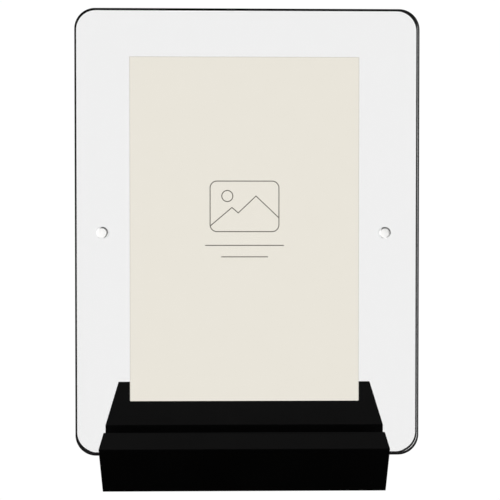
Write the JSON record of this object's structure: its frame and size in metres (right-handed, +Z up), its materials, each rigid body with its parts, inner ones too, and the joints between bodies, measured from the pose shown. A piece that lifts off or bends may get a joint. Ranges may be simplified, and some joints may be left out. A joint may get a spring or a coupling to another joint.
{
  "type": "acrylic photo block",
  "caption": "Photo display block: clear acrylic sheets clamp a print with disc magnets and lean in the inclined groove of a low black base.",
  "frame": {"origin": "on the surface that the block stands on, under the middle of the object's box", "axes": "+Z up, the front with the groove's lip faces -Y, +X to the right seen from the front"},
  "size_m": [0.1498, 0.0846, 0.1935],
  "materials": {
    "black_lacquered_wood": "satin black lacquer over wood fibre board",
    "black_rubber": "matte",
    "clear_acrylic": "clear, polished faces and edges",
    "nickel_plate": "nickel plated, polished",
    "cream_paper": "matte cream print"
  },
  "bodies": {
    "base": {"base_block": "black_lacquered_wood", "foot_front_left": "black_rubber", "foot_front_right": "black_rubber", "foot_rear_left": "black_rubber", "foot_rear_right": "black_rubber"},
    "rear_panel": {"rear_sheet": "clear_acrylic", "rear_magnet_left": "nickel_plate", "rear_magnet_right": "nickel_plate"},
    "front_panel": {"front_sheet": "clear_acrylic", "front_magnet_left": "nickel_plate", "front_magnet_right": "nickel_plate"},
    "print": {"photo_insert": "cream_paper"}
  },
  "joints": [
    {"name": "sheets_lift", "type": "slide", "parent": "base", "child": "rear_panel", "axis": [0, 0.3746, 0.9272], "range_m": [0, 0.05]},
    {"name": "front_sheet_slide", "type": "slide", "parent": "rear_panel", "child": "front_panel", "axis": [0, 0.3746, 0.9272], "range_m": [0, 0.2]},
    {"name": "print_slide", "type": "slide", "parent": "rear_panel", "child": "print", "axis": [0, 0.3746, 0.9272], "range_m": [0, 0.175]}
  ]
}
